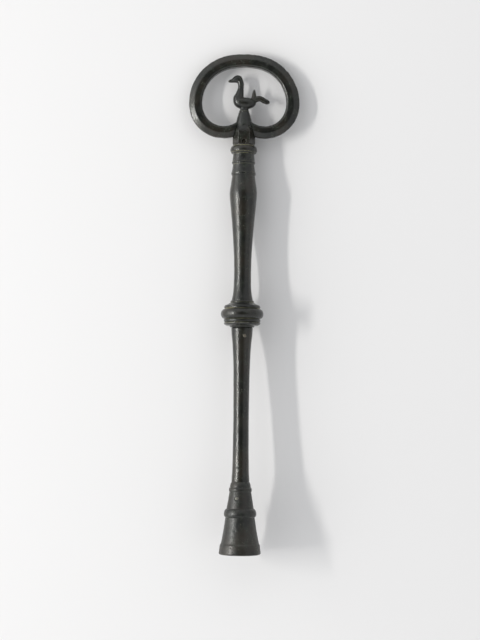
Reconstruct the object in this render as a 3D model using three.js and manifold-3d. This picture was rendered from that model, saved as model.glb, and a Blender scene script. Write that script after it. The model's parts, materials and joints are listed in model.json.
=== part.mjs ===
// A cast bronze key: a bent bow with a small standing bird, a turned grip and knop, a slender stem
// and a flared foot with a tapered square socket. All lengths are millimetres.
// The key is modelled straight along +Y from the mouth of its foot, with the bow's flat sides
// facing up and down, and is then laid down on its knop and on the far end of its bow.

import * as THREE from 'three';
import { mergeVertices } from 'three/addons/utils/BufferGeometryUtils.js';
import Module from 'manifold-3d';

const wasm = await Module();
wasm.setup();

// Clearances and fineness
const fitGap = 0.3; // between pieces that fit in or rest on each other
const overshoot = 1; // how far a cutter runs past the face that it opens
const roundSides = 28;
const shaftSides = 20;
const pinSides = 12;

// Socket foot
const footLength = 31.7;
const mouthRadius = 9.3;
const mouthEdge = 0.6; // rounding of the lip
const bandHeight = 4.4;
const bandTopRadius = 8.75;
const bellRadius = 8.3; // above the band
const bellHeight = 16.3;
const bellNeckRadius = 6.5;
const footRollRadius = 7.2;
const footRollHeight = 3.6;
const coneRadius = 6.1;
const coneNeckRadius = 4.8;
const footBeadRadius = 5.1;
const footBeadHeight = 1.8;
const footCapHeight = 2.6;

// Square socket inside the foot
const socketSide = 9.6; // at the mouth
const socketEndSide = 7.4;
const socketDepth = 16;

// Lower stem, with its tenon in the foot and its bore for the grip's tang
const stemLength = 67.9;
const stemBottomRadius = 4.0;
const stemWaistRadius = 3.48;
const stemWaistPlace = 27; // above the stem's bottom
const stemTopRadius = 4.85;
const stemCollarRadius = 4.68;
const stemCollarHeight = 3.5;
const tenonRadius = 2.5;
const tenonLength = 9.5;
const tangRadius = 2.5;
const tangLength = 14; // below the knop

// Knop
const knopHeight = 12.2;
const knopRadius = 9.52;
const knopRollHeight = 4.2;
const knopBeadRadius = 8.1;
const knopBeadHeight = 1.4;
const knopGrooveRadius = 7.7;
const knopUpperRadius = 8.05;
const knopCollarRadius = 5.2;
const knopCollarHeight = 1.1;

// Grip
const gripLength = 55.6;
const gripFootRadius = 4.7;
const gripWaistRadius = 3.85;
const gripWaistPlace = 11.5; // above the grip's bottom
const gripBellyRadius = 6.16;
const gripBellyPlace = 46.6;
const gripTopRadius = 5.05;
const spigotRadius = 2.9;
const spigotReach = 3.0; // into the block

// Ferrule of three mouldings
const lowerRingHeight = 5.2;
const lowerRingLip = 5.55;
const lowerRingTop = 4.9;
const middleRingHeight = 4.6;
const middleRingLip = 5.25;
const middleRingTop = 4.8;
const collarHeight = 4.0;
const collarLip = 5.4;
const collarRadius = 6.05;
const collarTop = 5.0;

// Block and post
const blockRadius = 5.15; // across the corners, from the axis
const blockHeight = 6.8;
const postHeight = 8.1;
const postFootRadius = 4.2;
const postTopRadius = 2.35;
const postWaist = 0.25; // how far the post's sides are hollowed

// Bow
const bowRise = 41.1; // from the block's foot to the bow's outer top
const crownRadius = 38;
const crownAngle = 10; // degrees from +Y where the crown's arc ends
const sideRadius = 21.95;
const sideAngle = 93.3;
const lobeRadius = 15.5;
const outerEndAngle = 197;
const innerEndAngle = 222;
const crownWidth = 5.9; // of the bar
const sideWidth = 6.05;
const lobeWidth = 5.4;
const barHalfDepth = 2.3;
const outerBevel = 2.6;
const innerBevel = 0.8;
const outerRim = 0.9; // half depth of the bar's outer edge
const innerRim = 1.6;
const mortiseRadius = 1.3;
const mortiseHeight = 5.3; // above the block's foot
const mortiseDepth = 3.6;

// Bird
const birdLength = 9.8; // of the body, breast to rump
const birdBodyHeight = 5.0;
const birdBodyDepth = 6.2;
const birdLift = 4.4; // of the body's middle above the post
const birdThroatHeight = 10.8; // above the post
const birdHeadHeight = 14.6;
const birdNeckRadius = 1.4;
const birdHeadRadius = 1.9;
const beakLength = 4.4;
const spurRise = 10.4; // of the raised tip behind the back, above the post
const spurRadius = 1.1;
const tailLength = 6.7;
const tailWidth = 2.5;
const tailThickness = 1.8;
const birdTenonRadius = 0.9;
const birdTenonLength = 5;

// Pins
const pinRadius = 0.8;
const footPinDrop = 7.2; // below the top of the foot
const stemPinDrop = 3.6; // below the knop
const bowPinHeight = 1.5; // above the block's foot
const pinRecess = 0.25;

// Heights of the pieces along the key
const stemStart = footLength;
const knopStart = stemStart + stemLength;
const gripStart = knopStart + knopHeight;
const ferruleStart = gripStart + gripLength;
const blockStart = ferruleStart + lowerRingHeight + middleRingHeight + collarHeight;
const postStart = blockStart + blockHeight;
const birdStart = postStart + postHeight;
const bowTop = blockStart + bowRise;
const knopWidest = knopStart + 2 * knopBeadHeight + knopRollHeight / 2 + 1;

const degrees = Math.PI / 180;
const mix = THREE.MathUtils.lerp;

// Outline of a straight or evenly bowed stretch between two radii; a positive bow swells it.
function stretch(startRadius, start, endRadius, end, bow = 0, steps = 1) {
  const points = [];
  for (let i = 0; i <= steps; i += 1) {
    const share = i / steps;
    const swell = 4 * bow * share * (1 - share);
    points.push([mix(startRadius, endRadius, share) + swell, mix(start, end, share)]);
  }
  return points;
}

// Outline of a half-round moulding that stands out from one radius and comes back to another.
function roll(startRadius, start, crown, endRadius, end, steps = 6) {
  const points = [];
  const rise = crown - (startRadius + endRadius) / 2;
  for (let i = 0; i <= steps; i += 1) {
    const turn = (Math.PI * i) / steps;
    const share = (1 - Math.cos(turn)) / 2;
    points.push([mix(startRadius, endRadius, share) + rise * Math.sin(turn), mix(start, end, share)]);
  }
  return points;
}

// Outline of a long swelling stretch through a few radii, as one smooth curve.
function flowing(sizes, steps) {
  const curve = new THREE.SplineCurve(sizes.map(([radius, height]) => new THREE.Vector2(radius, height)));
  return curve.getPoints(steps).map((point) => [point.x, point.y]);
}

// A closed mesh with shared corners as a solid that can be cut and joined.
function solid(geometry) {
  const shape = geometry.clone();
  shape.deleteAttribute('normal');
  shape.deleteAttribute('uv');
  const merged = mergeVertices(shape, 1e-4);
  const corners = merged.index.array;
  const triangles = [];
  for (let i = 0; i < corners.length; i += 3) {
    const [a, b, c] = corners.slice(i, i + 3);
    if (a !== b && b !== c && c !== a) triangles.push(a, b, c);
  }
  const mesh = new wasm.Mesh({
    numProp: 3,
    vertProperties: new Float32Array(merged.attributes.position.array),
    triVerts: new Uint32Array(triangles),
  });
  mesh.merge();
  return new wasm.Manifold(mesh);
}

// The triangles of a finished solid.
function geometryOf(body) {
  const mesh = body.getMesh();
  const geometry = new THREE.BufferGeometry();
  geometry.setAttribute('position', new THREE.Float32BufferAttribute(mesh.vertProperties, 3));
  geometry.setIndex(new THREE.Uint32BufferAttribute(mesh.triVerts, 1));
  const facets = geometry.toNonIndexed();
  facets.computeVertexNormals();
  return facets;
}

// A solid turned about the key's axis from an outline that is listed from its lowest point up.
function turned(outline, sides) {
  const rim = outline.map(([radius, height]) => new THREE.Vector2(radius, height));
  const first = new THREE.Vector2(0, rim[0].y);
  const last = new THREE.Vector2(0, rim[rim.length - 1].y);
  return solid(new THREE.LatheGeometry([first, ...rim, last], sides));
}

// A round rod along the key between two heights.
function rod(radius, from, to, sides = shaftSides) {
  const geometry = new THREE.CylinderGeometry(radius, radius, to - from, sides);
  return solid(geometry.translate(0, (from + to) / 2, 0));
}

// A round rod through the key from front to back, centred on its axis at a height.
function crossRod(radius, height, length) {
  const geometry = new THREE.CylinderGeometry(radius, radius, length, pinSides);
  return solid(geometry.rotateX(Math.PI / 2).translate(0, height, 0));
}

// A round rod across the key between two distances to its side, at a height.
function sideRod(radius, height, from, to) {
  const geometry = new THREE.CylinderGeometry(radius, radius, to - from, pinSides);
  return solid(geometry.rotateZ(Math.PI / 2).translate((from + to) / 2, height, 0));
}

// A closed skin over a row of rings with equal numbers of points; the ends are filled with fans.
function lofted(rings) {
  const count = rings[0].length;
  const positions = rings.flat().flatMap((point) => [point.x, point.y, point.z]);
  const index = [];
  for (let i = 0; i < rings.length - 1; i += 1) {
    for (let j = 0; j < count; j += 1) {
      const a = i * count + j;
      const b = i * count + ((j + 1) % count);
      index.push(a, b, a + count, b, b + count, a + count);
    }
  }
  const last = (rings.length - 1) * count;
  for (let j = 1; j < count - 1; j += 1) {
    index.push(0, j + 1, j);
    index.push(last, last + j, last + j + 1);
  }
  const geometry = new THREE.BufferGeometry();
  geometry.setAttribute('position', new THREE.Float32BufferAttribute(positions, 3));
  geometry.setIndex(index);
  return solid(geometry);
}

// A limb with oval rings along a curve in the bow's plane. Each station is
// [x, y, half width in the plane, half depth]; the ends close on small rings.
function limb(stations, steps, sides = 12) {
  const spine = new THREE.CatmullRomCurve3(stations.map(([x, y]) => new THREE.Vector3(x, y, 0)));
  const sizes = new THREE.SplineCurve(stations.map((row) => new THREE.Vector2(row[2], row[3])));
  const rings = [];
  for (let i = 0; i <= steps; i += 1) {
    const centre = spine.getPoint(i / steps);
    const along = spine.getTangent(i / steps);
    const across = new THREE.Vector3(-along.y, along.x, 0);
    const size = sizes.getPoint(i / steps);
    const ring = [];
    for (let j = 0; j < sides; j += 1) {
      const turn = (2 * Math.PI * j) / sides;
      const point = centre.clone().addScaledVector(across, size.x * Math.cos(turn));
      ring.push(point.setZ(size.y * Math.sin(turn)));
    }
    rings.push(ring);
  }
  return lofted(rings);
}

// The cross pins and the holes that they need
const pinHole = pinRadius + fitGap;
const footPinHeight = footLength - footPinDrop;
const stemPinHeight = knopStart - stemPinDrop;
const blockPinHeight = blockStart + bowPinHeight;
const holeAt = (height) => crossRod(pinHole, height, 2 * mouthRadius);

function coneRadiusAt(height) {
  const from = bellHeight + footRollHeight;
  const to = footLength - footCapHeight - footBeadHeight;
  return mix(coneRadius, coneNeckRadius, (height - from) / (to - from));
}

// The foot: a lip, a bell with a moulding on its shoulder, a cone, a bead and a cap.
function socketFoot() {
  const beadStart = footLength - footCapHeight - footBeadHeight;
  const capStart = footLength - footCapHeight;
  const outline = [
    [mouthRadius - mouthEdge / 2, 0],
    [mouthRadius - mouthEdge / 8, mouthEdge / 3],
    ...stretch(mouthRadius, mouthEdge, bandTopRadius, bandHeight, 0.05, 2),
    ...stretch(bellRadius, bandHeight + fitGap, bellNeckRadius, bellHeight, -0.12, 6),
    ...roll(bellNeckRadius, bellHeight, footRollRadius, coneRadius, bellHeight + footRollHeight),
    ...stretch(coneRadius, bellHeight + footRollHeight, coneNeckRadius, beadStart),
    ...roll(coneNeckRadius, beadStart, footBeadRadius, coneNeckRadius, capStart, 4),
    ...stretch(coneNeckRadius, capStart, stemBottomRadius, footLength, 0.12, 3),
  ];
  const corner = Math.SQRT1_2;
  const flare = (overshoot * (socketSide - socketEndSide)) / socketDepth;
  const socket = new THREE.CylinderGeometry(
    socketEndSide * corner,
    (socketSide + flare) * corner,
    socketDepth + overshoot,
    4,
  );
  socket.rotateY(Math.PI / 4).translate(0, (socketDepth - overshoot) / 2, 0);
  return turned(outline, roundSides)
    .subtract(solid(socket))
    .subtract(rod(tenonRadius + fitGap, footLength - tenonLength - fitGap, footLength + overshoot))
    .subtract(holeAt(footPinHeight));
}

// The stem: a long waisted shaft with a tenon below and a bore above.
function lowerStem() {
  const collarStart = knopStart - stemCollarHeight;
  const outline = [
    ...flowing(
      [
        [stemBottomRadius, stemStart + fitGap],
        [mix(stemBottomRadius, stemWaistRadius, 0.7), stemStart + stemWaistPlace * 0.35],
        [stemWaistRadius, stemStart + stemWaistPlace],
        [mix(stemWaistRadius, stemCollarRadius, 0.24), mix(stemStart + stemWaistPlace, collarStart, 0.66)],
        [stemCollarRadius, collarStart],
      ],
      14,
    ),
    ...stretch(stemCollarRadius, collarStart + fitGap, stemTopRadius, knopStart, 0, 1),
  ];
  return turned(outline, shaftSides)
    .add(rod(tenonRadius, footLength - tenonLength, footLength + overshoot))
    .subtract(rod(tangRadius + fitGap, knopStart - tangLength - fitGap, knopStart + overshoot))
    .subtract(holeAt(footPinHeight))
    .subtract(holeAt(stemPinHeight));
}

// The knop: two beads, the main roll, a bead and a small collar, bored through for the tang.
function knop() {
  const start = knopStart + fitGap;
  const firstBead = start + 0.7;
  const secondBead = firstBead + knopBeadHeight;
  const mainRoll = secondBead + knopBeadHeight;
  const upperBead = mainRoll + knopRollHeight;
  const shoulder = upperBead + knopBeadHeight;
  const collar = knopStart + knopHeight - knopCollarHeight;
  const outline = [
    [knopCollarRadius, start],
    ...roll(knopCollarRadius + 1, firstBead - 0.2, knopBeadRadius - 0.2, knopGrooveRadius, secondBead, 4),
    ...roll(knopGrooveRadius, secondBead, knopBeadRadius, knopGrooveRadius, mainRoll, 4),
    ...roll(knopGrooveRadius, mainRoll, knopRadius, knopGrooveRadius, upperBead, 8),
    ...roll(knopGrooveRadius, upperBead, knopUpperRadius, knopGrooveRadius - 0.4, shoulder, 4),
    ...stretch(knopGrooveRadius - 0.4, shoulder, knopCollarRadius, collar, -0.1, 3),
    ...stretch(knopCollarRadius, collar, gripFootRadius, knopStart + knopHeight, 0.1, 2),
  ];
  return turned(outline, roundSides).subtract(
    rod(tangRadius + fitGap, knopStart - overshoot, gripStart + overshoot),
  );
}

// The grip: a waisted and swelling shaft with a tang below and a spigot above.
function grip() {
  const outline = flowing(
    [
      [gripFootRadius, gripStart + fitGap],
      [mix(gripFootRadius, gripWaistRadius, 0.8), gripStart + gripWaistPlace * 0.35],
      [gripWaistRadius, gripStart + gripWaistPlace],
      [mix(gripWaistRadius, gripBellyRadius, 0.26), mix(gripStart + gripWaistPlace, gripStart + gripBellyPlace, 0.45)],
      [gripBellyRadius, gripStart + gripBellyPlace],
      [gripTopRadius, ferruleStart],
    ],
    18,
  );
  return turned(outline, shaftSides)
    .add(rod(tangRadius, knopStart - tangLength, gripStart + overshoot))
    .add(rod(spigotRadius, ferruleStart - overshoot, blockStart + spigotReach))
    .subtract(holeAt(stemPinHeight))
    .subtract(holeAt(blockPinHeight));
}

// The ferrule: two rings and a collar that flare towards the foot, one above the other.
function neckFerrule() {
  const middle = ferruleStart + lowerRingHeight;
  const collar = middle + middleRingHeight;
  const top = blockStart;
  const outline = [
    [lowerRingLip - fitGap, ferruleStart + fitGap],
    ...stretch(lowerRingLip, ferruleStart + 2 * fitGap, lowerRingTop, middle, -0.05, 3),
    ...stretch(middleRingLip, middle + fitGap / 2, middleRingTop, collar, -0.03, 2),
    ...roll(collarLip, collar + fitGap / 2, collarRadius, collarTop, top - fitGap, 6),
    [collarTop, top],
  ];
  return turned(outline, roundSides).subtract(
    rod(spigotRadius + fitGap, ferruleStart - overshoot, blockStart + overshoot),
  );
}

// The outer form of the block and its post, grown by a clearance on every side.
function blockForm(grow) {
  const sides = 6;
  const radius = blockRadius + grow;
  const height = blockHeight + 2 * grow - fitGap;
  const prism = new THREE.CylinderGeometry(radius, radius, height, sides);
  prism.rotateY(Math.PI / sides).translate(0, blockStart + fitGap - grow + height / 2, 0);
  const post = stretch(
    postFootRadius + grow,
    postStart - overshoot,
    postTopRadius + grow,
    birdStart + grow,
    -postWaist,
    6,
  );
  return solid(prism).add(turned(post, shaftSides));
}

// The block: bored for the spigot, for the bow's two tenons, the bird's tenon and the pin.
function bowBlock() {
  const mortise = blockStart + mortiseHeight;
  const reach = blockRadius + overshoot;
  const mortiseEnd = blockRadius - mortiseDepth;
  return blockForm(0)
    .subtract(rod(spigotRadius + fitGap, blockStart - overshoot, blockStart + spigotReach + fitGap))
    .subtract(sideRod(mortiseRadius, mortise, mortiseEnd, reach))
    .subtract(sideRod(mortiseRadius, mortise, -reach, -mortiseEnd))
    .subtract(
      rod(birdTenonRadius + fitGap, birdStart - birdTenonLength - fitGap, birdStart + overshoot, pinSides),
    )
    .subtract(holeAt(blockPinHeight));
}

// The centre and radius of the arc of the bow's outer edge whose normal turns through an angle.
function outerArc(angle) {
  const along = (turn) => new THREE.Vector2(Math.sin(turn * degrees), Math.cos(turn * degrees));
  const crown = new THREE.Vector2(0, bowTop - crownRadius);
  const side = crown.clone().addScaledVector(along(crownAngle), crownRadius - sideRadius);
  const lobe = side.clone().addScaledVector(along(sideAngle), sideRadius - lobeRadius);
  if (angle <= crownAngle) return [crown, crownRadius];
  return angle <= sideAngle ? [side, sideRadius] : [lobe, lobeRadius];
}

// The bar's width where its outward normal makes an angle with +Y.
function barWidth(angle) {
  const ease = THREE.MathUtils.smoothstep;
  const upper = mix(crownWidth, sideWidth, ease(angle, 0, 90));
  return mix(upper, lobeWidth, ease(angle, 90, 180));
}

// A point of the bow's edge, inset by a share of the bar's width, in the half with x above 0.
function edgePoint(angle, inset) {
  const [centre, radius] = outerArc(angle);
  const reach = radius - inset * barWidth(angle);
  const turn = angle * degrees;
  return new THREE.Vector2(centre.x + reach * Math.sin(turn), centre.y + reach * Math.cos(turn));
}

// The bar's eight-cornered section between a point of the outer and one of the inner edge.
function barSection(angle, side) {
  const past = Math.max(0, angle - 180) / (outerEndAngle - 180);
  const innerAngle = angle <= 180 ? angle : mix(180, innerEndAngle, past);
  const outer = edgePoint(angle, 0);
  const inner = edgePoint(innerAngle, 1);
  const width = outer.distanceTo(inner);
  const corners = [
    [0, -outerRim],
    [0, outerRim],
    [outerBevel, barHalfDepth],
    [width - innerBevel, barHalfDepth],
    [width, innerRim],
    [width, -innerRim],
    [width - innerBevel, -barHalfDepth],
    [outerBevel, -barHalfDepth],
  ];
  return corners.map(([inset, z]) => {
    const point = outer.clone().lerp(inner, inset / width);
    return new THREE.Vector3(side * point.x, point.y, z);
  });
}

// The bow: one bar bent round from the block's left side to its right, with a tenon at each end.
function bowLoop() {
  const steps = 26;
  const rings = [];
  for (let i = -steps; i <= steps; i += 1) {
    rings.push(barSection((outerEndAngle * Math.abs(i)) / steps, i < 0 ? -1 : 1));
  }
  const tenon = blockStart + mortiseHeight;
  const inside = blockRadius - mortiseDepth + fitGap;
  const outside = blockRadius + overshoot;
  return lofted(rings)
    .subtract(blockForm(fitGap))
    .add(sideRod(mortiseRadius - fitGap, tenon, inside, outside))
    .add(sideRod(mortiseRadius - fitGap, tenon, -outside, -inside));
}

// The bird: body, neck and head, beak, a raised spur, the tail, and a foot that ends in a tenon.
function birdFigure() {
  const base = birdStart + fitGap;
  const middle = birdStart + birdLift;
  const halfLength = birdLength / 2;
  const halfHeight = birdBodyHeight / 2;
  const halfDepth = birdBodyDepth / 2;
  const throat = birdStart + birdThroatHeight;
  const head = birdStart + birdHeadHeight;
  const neckX = -1.15 * birdNeckRadius;
  const tip = 0.15;
  const body = limb(
    [
      [-halfLength * 0.95, middle + halfHeight * 0.55, tip, tip],
      [-halfLength * 0.55, middle + halfHeight * 0.2, halfHeight * 0.98, halfDepth * 0.85],
      [0, middle, halfHeight, halfDepth],
      [halfLength * 0.5, middle, halfHeight * 0.96, halfDepth * 0.85],
      [halfLength, middle + halfHeight * 0.45, halfHeight * 0.35, halfDepth * 0.3],
    ],
    12,
  );
  const neck = limb(
    [
      [-halfLength * 0.42, middle + halfHeight * 0.3, halfHeight, halfDepth * 0.8],
      [1.5 * neckX, mix(middle, throat, 0.62), birdNeckRadius * 1.4, birdNeckRadius * 1.5],
      [neckX, throat, birdNeckRadius, birdNeckRadius],
      [neckX, mix(throat, head, 0.55), birdNeckRadius, birdNeckRadius],
      [neckX - 0.35 * birdHeadRadius, head, birdHeadRadius * 0.95, birdHeadRadius * 0.9],
      [neckX - 0.6 * birdHeadRadius, head + birdHeadRadius, tip, tip],
    ],
    14,
  );
  const beak = limb(
    [
      [neckX - 0.4 * birdHeadRadius, head, birdHeadRadius * 0.85, birdHeadRadius * 0.8],
      [neckX - birdHeadRadius * 1.6, head - 0.3, birdHeadRadius * 0.55, birdHeadRadius * 0.5],
      [neckX - birdHeadRadius * 0.75 - beakLength, head - 0.8, tip, tip],
    ],
    6,
    8,
  );
  const spurX = halfLength * 0.88;
  const spur = limb(
    [
      [spurX * 0.8, middle, halfHeight * 0.7, halfDepth * 0.6],
      [spurX, mix(middle, birdStart + spurRise, 0.45), spurRadius, spurRadius * 1.1],
      [spurX * 1.03, birdStart + spurRise, tip, tip],
    ],
    7,
  );
  const tail = limb(
    [
      [halfLength * 0.85, middle + halfHeight * 0.5, tailWidth * 0.5, tailThickness * 0.6],
      [halfLength + tailLength * 0.3, middle + halfHeight * 0.65, tailWidth / 2, tailThickness / 2],
      [halfLength + tailLength * 0.65, middle + halfHeight * 0.25, tailWidth / 2, tailThickness / 2],
      [halfLength + tailLength * 0.9, middle - halfHeight * 0.02, tailWidth * 0.38, tailThickness / 2],
      [halfLength + tailLength, middle - halfHeight * 0.1, tip, tip],
    ],
    9,
  );
  const stand = turned(
    [
      ...stretch(postTopRadius, base, postTopRadius * 0.95, base + 1, 0.1, 2),
      [birdNeckRadius, middle],
    ],
    shaftSides,
  );
  return body
    .add(neck)
    .add(beak)
    .add(spur)
    .add(tail)
    .add(stand)
    .add(rod(birdTenonRadius, birdStart - birdTenonLength, base + 1, pinSides));
}

// A pin through the key, a little short of the surface on both sides.
function crossPin(height, surfaceRadius) {
  return crossRod(pinRadius, height, 2 * (surfaceRadius - pinRecess));
}

// Dark bronze with a green-brown skin
function bronze(colour, roughness) {
  return new THREE.MeshStandardMaterial({ color: colour, roughness, metalness: 0.85 });
}

const pieces = [
  ['socket_foot', socketFoot(), bronze(0x2e3024, 0.38)],
  ['lower_stem', lowerStem(), bronze(0x2b2d24, 0.34)],
  ['knop', knop(), bronze(0x2f3126, 0.36)],
  ['grip', grip(), bronze(0x2c2e24, 0.33)],
  ['neck_ferrule', neckFerrule(), bronze(0x34382a, 0.4)],
  ['bow_block', bowBlock(), bronze(0x2d2f25, 0.38)],
  ['bow_loop', bowLoop(), bronze(0x302f25, 0.36)],
  ['bird_figure', birdFigure(), bronze(0x2a2c22, 0.35)],
  ['foot_pin', crossPin(footPinHeight, coneRadiusAt(footPinHeight)), bronze(0x4a4a3a, 0.45)],
  ['stem_pin', crossPin(stemPinHeight, stemCollarRadius), bronze(0x4a4a3a, 0.45)],
  ['bow_pin', crossPin(blockPinHeight, blockRadius * Math.cos(Math.PI / 6)), bronze(0x3a3a2e, 0.45)],
];

// The key lies on the knop's widest ring and on the lower corner of the bow's crown.
const bowContact = bowTop - outerBevel;
const restTilt = Math.atan((knopRadius - barHalfDepth) / (bowContact - knopWidest));

const straight = new THREE.Group();
for (const [name, body, material] of pieces) {
  const mesh = new THREE.Mesh(geometryOf(body), material);
  mesh.name = name;
  straight.add(mesh);
}
straight.rotation.x = -restTilt;

const key = new THREE.Group();
key.add(straight);
key.updateMatrixWorld(true);
const reach = new THREE.Box3().setFromObject(key, true);
const middle = reach.getCenter(new THREE.Vector3());
straight.position.set(-middle.x, -middle.y, -reach.min.z);

export default key;
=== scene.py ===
"""A cast bronze key on a pale table, dressed around its packed construction.

The key is worked out in its own straight coordinates, in millimetres: x to the right, u along the
axis from the mouth of the foot, z towards the eye. KeyPlace then lays it down as the construction
lies, on its knop and on the far end of its bow, and turns millimetres into metres.
"""

import json
import logging
import math
from dataclasses import dataclass, field
from enum import Enum
from typing import Callable, Iterable, Sequence

import bmesh
import bpy
import numpy as np
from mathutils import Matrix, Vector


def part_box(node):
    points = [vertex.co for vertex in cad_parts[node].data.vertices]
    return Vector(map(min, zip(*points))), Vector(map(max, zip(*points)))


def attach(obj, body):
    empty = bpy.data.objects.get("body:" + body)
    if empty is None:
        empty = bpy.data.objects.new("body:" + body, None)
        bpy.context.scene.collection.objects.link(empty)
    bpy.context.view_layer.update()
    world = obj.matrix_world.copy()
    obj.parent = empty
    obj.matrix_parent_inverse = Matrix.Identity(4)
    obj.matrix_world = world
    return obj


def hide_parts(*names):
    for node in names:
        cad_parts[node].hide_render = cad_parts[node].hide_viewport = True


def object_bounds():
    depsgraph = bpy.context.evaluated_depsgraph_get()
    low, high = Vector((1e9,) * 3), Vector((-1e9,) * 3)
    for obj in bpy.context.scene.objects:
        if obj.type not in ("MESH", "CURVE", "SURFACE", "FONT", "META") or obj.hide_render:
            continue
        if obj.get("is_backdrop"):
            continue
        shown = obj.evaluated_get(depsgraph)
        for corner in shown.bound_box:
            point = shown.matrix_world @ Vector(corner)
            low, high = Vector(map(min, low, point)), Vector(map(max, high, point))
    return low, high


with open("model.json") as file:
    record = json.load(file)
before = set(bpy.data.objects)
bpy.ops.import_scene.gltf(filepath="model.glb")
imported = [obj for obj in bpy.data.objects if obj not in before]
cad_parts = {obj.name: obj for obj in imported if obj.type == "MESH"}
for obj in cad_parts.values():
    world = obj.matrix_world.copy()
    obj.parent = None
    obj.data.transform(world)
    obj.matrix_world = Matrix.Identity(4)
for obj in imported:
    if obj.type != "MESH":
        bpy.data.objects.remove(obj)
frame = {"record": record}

logging.basicConfig(level=logging.INFO, format="%(message)s")
log = logging.getLogger("key")

MILLIMETRE = 0.001
TURN = 2.0 * math.pi
PIN_HOLE = 0.85  # radius of the hollow that a pin's end sits in, in millimetres
FOOT_PIN_TURN = -0.35  # radians from the side that faces the eye
STEM_PIN_TURN = 0.28
CORE = 1.5  # radius inside which a piece's hidden ends stay true, in millimetres

Point = tuple[float, float]


class Lump(Enum):
    """How strongly a piece's surface wanders from its true form, in millimetres."""

    TURNED = 0.05
    CAST = 0.06
    WORN = 0.08
    FORGED = 0.1


@dataclass(frozen=True)
class Heights:
    """Where the pieces start and the pins sit, in millimetres along the key from its mouth."""

    foot_pin: float = 24.5
    stem: float = 31.7
    stem_pin: float = 96.0
    knop: float = 99.6
    grip: float = 111.8
    ferrule: float = 167.4
    block: float = 181.2
    bow_pin: float = 182.35
    bird: float = 196.1
    bow_top: float = 222.3


HEIGHTS = Heights()


class KeyPlace:
    """Where the straight key lies in the row's frame, read from the mount on the foot's mouth."""

    def __init__(self, record: dict) -> None:
        """Takes the tilt and the mouth's centre from the mount.

        Args:
            record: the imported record.
        """
        mount = next(m for m in record["mounts"] if m["name"] == "foot_mouth")
        self.sine = mount["axis"][2]
        self.cosine = -mount["axis"][1]
        self.mouth_y = mount["pos_m"][1]
        self.mouth_z = mount["pos_m"][2]

    def row(self, points: np.ndarray) -> np.ndarray:
        """Lays points of the straight key down in the row's frame.

        Forward along the key is forward and a little down, so y = mouth + u cos + z sin and
        height = mouth height - u sin + z cos.

        Args:
            points: x, u, z in millimetres, in the last axis.

        Returns:
            The same points in metres.
        """
        x, u, z = np.moveaxis(np.asarray(points, float) * MILLIMETRE, -1, 0)
        y = self.mouth_y + u * self.cosine + z * self.sine
        height = self.mouth_z - u * self.sine + z * self.cosine
        return np.stack([x, y, height], axis=-1)


def smooth(low: float, high: float, value: np.ndarray) -> np.ndarray:
    """Rises from 0 where value is low to 1 where it is high: 3 s squared minus 2 s cubed."""
    share = np.clip((value - low) / (high - low), 0.0, 1.0)
    return share * share * (3.0 - 2.0 * share)


def full_turn(columns: int) -> np.ndarray:
    """Evenly spread angles round a full turn, in radians, without the last one."""
    return np.linspace(0.0, TURN, columns, endpoint=False)


def about_axis(radius: np.ndarray, u: np.ndarray, turn: np.ndarray) -> np.ndarray:
    """Points about the key's axis: x = r sin turn, u, z = r cos turn, in millimetres."""
    return np.stack([radius * np.sin(turn), u, radius * np.cos(turn)], axis=-1)


def way_along(points: np.ndarray) -> np.ndarray:
    """The distance from the first point to each point, along the run of points."""
    return np.concatenate([[0.0], np.cumsum(np.hypot(*np.diff(points, axis=0).T))])


def stretch(start: Point, end: Point, bow: float = 0.0, steps: int = 24) -> np.ndarray:
    """An outline from one (radius, height) to another, bowed as 4 b s (1 - s).

    Args:
        start: radius and height where it starts.
        end: radius and height where it ends.
        bow: how far its middle swells outwards.
        steps: how many parts it has.

    Returns:
        Rows of radius and height.
    """
    share = np.linspace(0.0, 1.0, steps + 1)[:, None]
    line = (1.0 - share) * np.array(start) + share * np.array(end)
    line[:, 0] += 4.0 * bow * share[:, 0] * (1.0 - share[:, 0])
    return line


def roll(start: Point, end: Point, crown: float, power: float = 1.0, steps: int = 32) -> np.ndarray:
    """A moulding that stands out as the sine of a half turn between two radii.

    Args:
        start: radius and height where it starts.
        end: radius and height where it ends.
        crown: its widest radius.
        power: below 1 gives a fuller, flatter moulding and above 1 a more pointed one.
        steps: how many parts it has.

    Returns:
        Rows of radius and height.
    """
    turn = np.linspace(0.0, math.pi, steps + 1)
    share = (1.0 - np.cos(turn)) / 2.0
    base = start[0] + (end[0] - start[0]) * share
    rise = crown - (start[0] + end[0]) / 2.0
    height = start[1] + (end[1] - start[1]) * share
    return np.column_stack([base + rise * np.abs(np.sin(turn)) ** power, height])


def flowing(knots: Sequence[Point], steps: int = 120) -> np.ndarray:
    """A smooth outline through knots, each part a cubic with Catmull and Rom's slopes.

    Args:
        knots: (radius, height) pairs in order of height.
        steps: how many parts the whole has.

    Returns:
        Rows of radius and height.
    """
    table = np.array(knots, float)
    height = np.linspace(table[0, 1], table[-1, 1], steps + 1)
    slope = np.gradient(table[:, 0], table[:, 1])
    part = np.clip(np.searchsorted(table[:, 1], height, side="right") - 1, 0, len(table) - 2)
    span = table[part + 1, 1] - table[part, 1]
    s = (height - table[part, 1]) / span
    start, end = table[part, 0], table[part + 1, 0]
    radius = (
        (2 * s**3 - 3 * s**2 + 1) * start
        + (s**3 - 2 * s**2 + s) * span * slope[part]
        + (-2 * s**3 + 3 * s**2) * end
        + (s**3 - s**2) * span * slope[part + 1]
    )
    return np.column_stack([radius, height])


def raised(start: float, knots: Sequence[Point]) -> list[Point]:
    """Knots along the key from (radius, height above start) pairs."""
    return [(radius, start + height) for radius, height in knots]


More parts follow.
